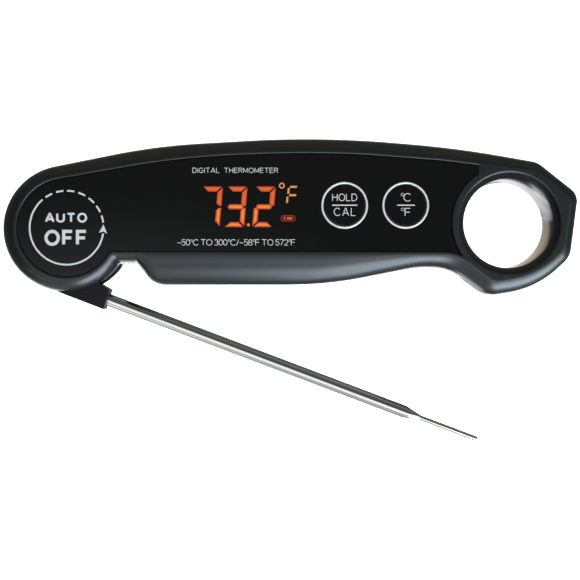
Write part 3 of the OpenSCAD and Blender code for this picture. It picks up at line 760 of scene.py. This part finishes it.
def bars(t, w, h, s):
    """Bars of one digit as loops, before slanting."""
    m = h / 2
    return {
        "a": [(s, h), (w - s, h), (w - t - s, h - t), (t + s, h - t)],
        "d": [(s, 0), (w - s, 0), (w - t - s, t), (t + s, t)],
        "g": [(s * 2, m), (t / 2 + s, m + t / 2), (w - t / 2 - s, m + t / 2), (w - s * 2, m),
              (w - t / 2 - s, m - t / 2), (t / 2 + s, m - t / 2)],
        "b": [(w, h - s), (w, m + s), (w - t / 2, m + s), (w - t, m + t / 2 + s), (w - t, h - t - s)],
        "c": [(w, s), (w, m - s), (w - t / 2, m - s), (w - t, m - t / 2 - s), (w - t, t + s)],
        "e": [(0, s), (0, m - s), (t / 2, m - s), (t, m - t / 2 - s), (t, t + s)],
    }


def slanted(loop, x, y):
    """The loop leaning over like the digits, moved to x, y."""
    return [(x + px + py * SLANT, y + py) for px, py in loop]


def shrunk(loop, share):
    """The loop drawn in towards its middle by share, in millimetres."""
    middle = Vector((sum(p[0] for p in loop) / len(loop), sum(p[1] for p in loop) / len(loop)))
    width = max(p[0] for p in loop) - min(p[0] for p in loop)
    height = max(p[1] for p in loop) - min(p[1] for p in loop)
    kx, ky = 1 - 2 * share / width, 1 - 2 * share / height
    return [(middle.x + (px - middle.x) * kx, middle.y + (py - middle.y) * ky) for px, py in loop]


lit, core, low_core = [], [], []
base_x, base_y = DISPLAY.x - 9.55, DISPLAY.y - 5.9
for digit, offset in (("7", 0.0), ("3", 7.05), ("2", 15.15)):
    for key in SEGMENTS[digit]:
        loop = bars(BAR, CELL_W, CELL_H, SPLIT)[key]
        lit.append(slanted(loop, base_x + offset, base_y))
        (core if key in "ab" else low_core).append(slanted(shrunk(loop, 0.42), base_x + offset, base_y))
dot = (base_x + 14.05, base_y + 0.62)
lit.append(circle(*dot, 0.5, 16))
low_core.append(circle(*dot, 0.28, 16))
flat_piece("digits_glow", lit, FACE, "housing", DIGIT_EDGE)
flat_piece("digits_core_upper", core, FACE + INK, "housing", DIGIT_RED)
flat_piece("digits_core_lower", low_core, FACE + INK, "housing", DIGIT_CORE)
# The unit sign and the battery sign beside the digits
unit_x, unit_y = DISPLAY.x + 15.3, DISPLAY.y + 1.05
small = [rectangle(0.75, 4.3, 2.75, 4.85), rectangle(0.15, 2.6, 0.7, 4.25), rectangle(0.75, 1.9, 2.7, 2.45),
         rectangle(0.0, 0.0, 0.55, 1.75)]
small = [slanted(loop, unit_x, unit_y) for loop in small]
small.append(band((unit_x - 1.2, unit_y + 4.9), 0.68, 0.36, 0, 359.9, 20))
flat_piece("unit_sign", small, FACE, "housing", SIGN_LIT)
cell_x, cell_y = unit_x - 1.55, DISPLAY.y - 4.35
case = []
for r, turn in ((0.9, 1), (0.68, -1)):
    left = arc(cell_x + 0.9, cell_y + 0.95, r, r, 90, 270, 8)
    right = arc(cell_x + 3.4, cell_y + 0.95, r, r, -90, 90, 8)
    case.append((left + right)[::turn])
flat_ring("battery_case", case, FACE, "housing", SIGN_RED)
flat_piece("battery_level", [rectangle(cell_x + 1.75, cell_y + 0.55, cell_x + 3.4, cell_y + 1.35),
                             rectangle(cell_x + 0.85, cell_y + 0.5, cell_x + 1.35, cell_y + 1.4)],
           FACE, "housing", DIGIT_EDGE)

# Stage: pale floor and backdrop, soft light, camera
def glow(name, color, strength):
    """Pale matt finish that also gives off light."""
    m = bpy.data.materials.new(name)
    m.use_nodes = True
    nodes, links = m.node_tree.nodes, m.node_tree.links
    bsdf = nodes["Principled BSDF"]
    bsdf.inputs["Base Color"].default_value = (0.9, 0.9, 0.9, 1)
    bsdf.inputs["Roughness"].default_value = 0.9
    bsdf.inputs["Emission Color"].default_value = (*color, 1)
    bsdf.inputs["Emission Strength"].default_value = strength
    return m


def stage_piece(o, m):
    """Scale to metres and give the stage piece its material."""
    o.data.transform(Matrix.Scale(MM, 4))
    o.data.materials.append(m)
    return o


FLOOR_HALF, DOME_R = 3000, 2900
floor = stage_piece(cuboid("floor", (-FLOOR_HALF, -FLOOR_HALF, -4), (FLOOR_HALF, FLOOR_HALF, 0)),
                    glow("pale_floor", (1, 1, 1), 1.0))
dome = [(DOME_R * math.cos(a), DOME_R * math.sin(a) - 10) for a in quarter(15)]
dome += [(r * 1.01, z * 1.01) for r, z in dome[::-1][1:]]
backdrop = stage_piece(ring_solid("backdrop", dome), glow("pale_backdrop", (0.93, 0.94, 0.95), 1.0))
for o in (floor, backdrop):
    o.visible_glossy = False
    o.visible_shadow = False
backdrop.visible_diffuse = False


def area(name, at, aim, width, height, radiance, color=(1, 1, 1), glossy=True):
    """Soft box lamp at a place, turned to a point; radiance is how bright its face looks."""
    lamp = bpy.data.lights.new(name, "AREA")
    lamp.shape = "RECTANGLE"
    lamp.size, lamp.size_y = width * MM, height * MM
    lamp.energy = radiance * math.pi * width * height * MM * MM
    lamp.color = color
    o = bpy.data.objects.new(name, lamp)
    bpy.context.scene.collection.objects.link(o)
    turn = (Vector(aim) - Vector(at)).to_track_quat("-Z", "Y").to_matrix().to_4x4()
    o.matrix_world = Matrix.Translation(Vector(at) * MM) @ turn
    o.visible_camera = False
    o.visible_glossy = glossy
    return o


key = area("key", (300, -413, 25), (80, -10, 10), 550, 500, 7.9, (0.77, 0.92, 1.02))
key_upper = area("key_upper", (300, -380, 440), (75, -10, 10), 400, 430, 2.9, (0.82, 0.94, 1.0))
area("overhead_fill", (70, 0, 700), (70, 0, 0), 1000, 1000, 1.0, (0.97, 0.98, 1.0), glossy=False)
area("warm_side", (30, 550, 330), (60, 0, 10), 900, 300, 6.6, (1.0, 0.83, 0.44), glossy=False)

# The glossy face takes no mirror image of the two key lights, which would white it out from low angles
face_pieces = bpy.data.collections.new("face_pieces")
for o in bpy.data.objects:
    if o.type == "MESH" and FINISH["panel_gloss"] in list(o.data.materials):
        face_pieces.objects.link(o)
for item in face_pieces.collection_objects:
    item.light_linking.link_state = "EXCLUDE"
for lamp in (key, key_upper):
    lamp.light_linking.receiver_collection = face_pieces

# Dim surroundings that the glossy sides reflect: cool on the grip side, warm on the back side
world = bpy.data.worlds.new("studio")
bpy.context.scene.world = world
world.use_nodes = True
nodes, links = world.node_tree.nodes, world.node_tree.links
around = nodes.new("ShaderNodeTexCoord").outputs["Generated"]
split = nodes.new("ShaderNodeSeparateXYZ")
links.new(around, split.inputs[0])


def sums(operation, a, b):
    """Output of one maths node, given sockets or numbers."""
    node = nodes.new("ShaderNodeMath")
    node.operation = operation
    for socket, value in zip(node.inputs, (a, b)):
        if isinstance(value, (int, float)):
            socket.default_value = value
        else:
            links.new(value, socket)
    return node.outputs[0]


def smooth(value, low, high):
    """0 up to low, 1 from high on, and a soft step between them."""
    node = nodes.new("ShaderNodeMapRange")
    node.interpolation_type = "SMOOTHSTEP"
    links.new(value, node.inputs["Value"])
    node.inputs["From Min"].default_value = low
    node.inputs["From Max"].default_value = high
    return node.outputs["Result"]


def lobe(theta, azimuth, inner, outer):
    """1 within inner degrees of a direction, 0 beyond outer; theta is from straight up."""
    t, a = math.radians(theta), math.radians(azimuth)
    node = nodes.new("ShaderNodeVectorMath")
    node.operation = "DOT_PRODUCT"
    links.new(around, node.inputs[0])
    node.inputs[1].default_value = (math.sin(t) * math.cos(a), math.sin(t) * math.sin(a), math.cos(t))
    return smooth(node.outputs["Value"], math.cos(math.radians(outer)), math.cos(math.radians(inner)))


def window(value, low, high, soft):
    """1 between low and high, with soft edges."""
    past = smooth(value, high - soft, high + soft)
    return sums("MULTIPLY", smooth(value, low - soft, low + soft), sums("SUBTRACT", 1, past))


# Slopes east and north of a downward direction
down = sums("MAXIMUM", sums("MULTIPLY", split.outputs["Z"], -1), 0.01)
below = smooth(down, 0.3, 0.45)
east = sums("DIVIDE", split.outputs["X"], down)
north = sums("DIVIDE", split.outputs["Y"], down)


def card(across, along):
    """Soft-edged rectangle below: low end, high end and softness of its slopes east and north."""
    return sums("MULTIPLY", below, sums("MULTIPLY", window(east, *across), window(north, *along)))


AMBIENT = (0.09, 0.1, 0.105)
LIGHTS = [
    (lobe(25, -111, 13, 28), (1.3, 1.36, 1.4)),
    (lobe(70, -111, 14, 34), (0.5, 0.53, 0.56)),
    (lobe(80, -128, 8, 20), (0.8, 0.85, 0.9)),
    (lobe(50, -22, 10, 38), (0.65, 0.76, 0.8)),
    (lobe(115, -111, 11, 21), (0.55, 0.54, 0.52)),
    (lobe(75, 92, 15, 50), (0.09, 0.08, 0.05)),
    (lobe(80, 52, 12, 32), (0.14, 0.12, 0.07)),
    (card((-0.5, -0.125, 0.03), (-0.6, -0.24, 0.04)), (1.5, 1.48, 1.5)),
    (card((-0.5, 0.25, 0.04), (-0.3, -0.065, 0.025)), (1.6, 1.55, 1.65)),
    (card((-0.5, -0.155, 0.012), (-0.065, 0.01, 0.025)), (1.1, 1.05, 1.15)),
    (card((-0.34, 0.25, 0.03), (0.0, 0.42, 0.035)), (0.7, 0.6, 0.42)),
]
total = None
for mask, tint in LIGHTS:
    scaled = nodes.new("ShaderNodeVectorMath")
    scaled.operation = "SCALE"
    scaled.inputs[0].default_value = tint
    links.new(mask, scaled.inputs["Scale"])
    summed = nodes.new("ShaderNodeVectorMath")
    summed.operation = "ADD"
    links.new(scaled.outputs[0], summed.inputs[0])
    if total:
        links.new(total, summed.inputs[1])
    else:
        summed.inputs[1].default_value = AMBIENT
    total = summed.outputs[0]
links.new(total, nodes["Background"].inputs["Color"])

# Camera straight above
CAMERA_AT = (65.34, -17.95, 389)
camera = bpy.data.cameras.new("camera")
camera.lens = 80.2
camera.sensor_width = 36
camera_object = bpy.data.objects.new("camera", camera)
bpy.context.scene.collection.objects.link(camera_object)
camera_object.location = Vector(CAMERA_AT) * MM
bpy.context.scene.camera = camera_object
bpy.context.scene.view_settings.view_transform = "Standard"
